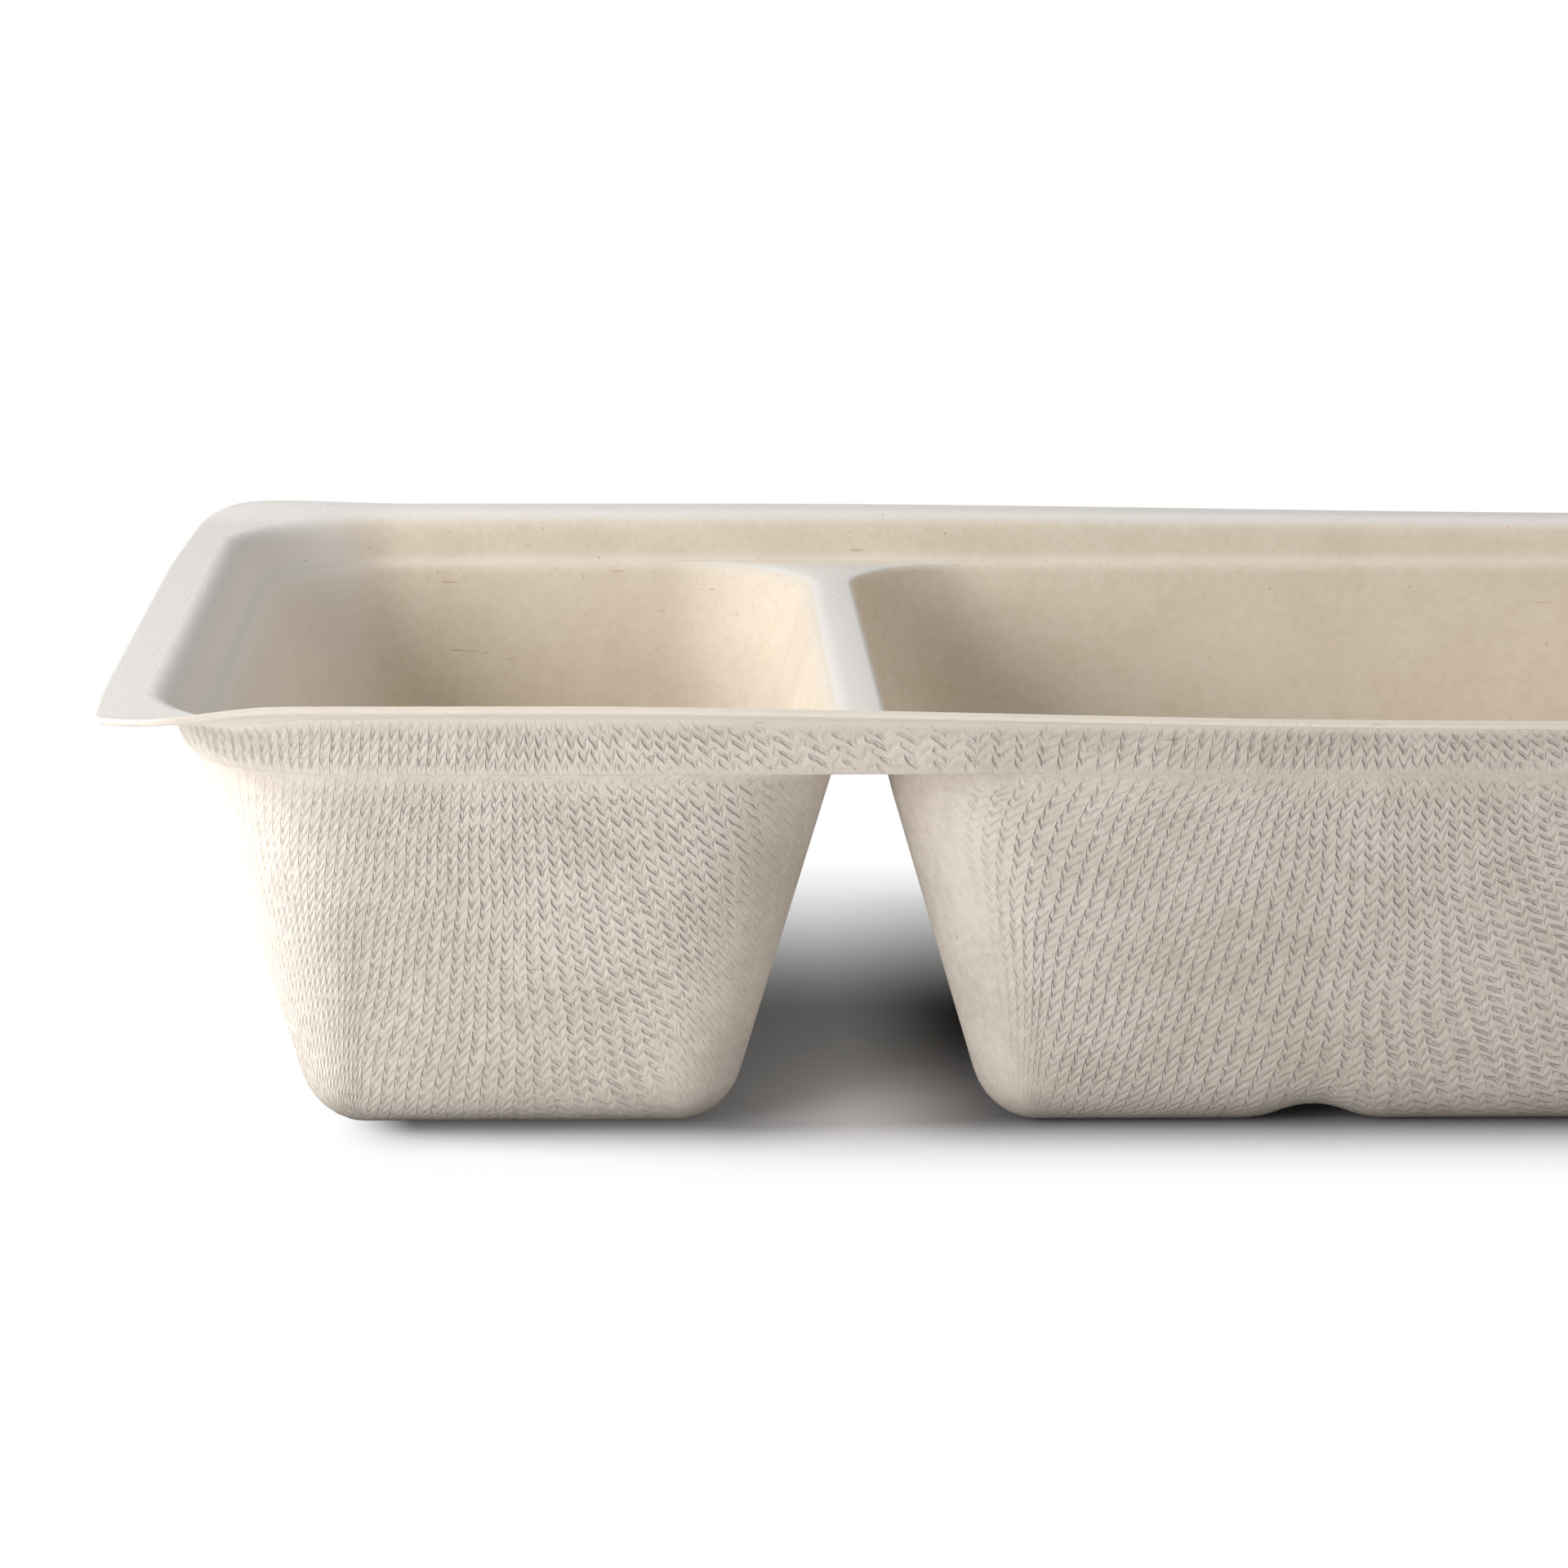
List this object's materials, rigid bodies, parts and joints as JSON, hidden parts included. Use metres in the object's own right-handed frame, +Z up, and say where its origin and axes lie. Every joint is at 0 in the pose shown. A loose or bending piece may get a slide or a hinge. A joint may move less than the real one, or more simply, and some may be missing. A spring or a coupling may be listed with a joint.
{
  "type": "bagasse chip tray",
  "caption": "Rectangular moulded-fibre food tray with a small dip compartment beside a large one, a stepped flange round the top and an open tunnel under the divider.",
  "frame": {"origin": "on the table plane, under the middle of the tray's length and depth", "axes": "+X along the length from the small compartment to the large one, -Y the front, +Z up"},
  "size_m": [0.2, 0.15, 0.0476],
  "materials": {
    "fibre": "natural unbleached moulded fibre, smooth inside, fine herringbone wire-mesh imprint outside"
  },
  "bodies": {
    "root": {"tray": "fibre"}
  },
  "joints": []
}
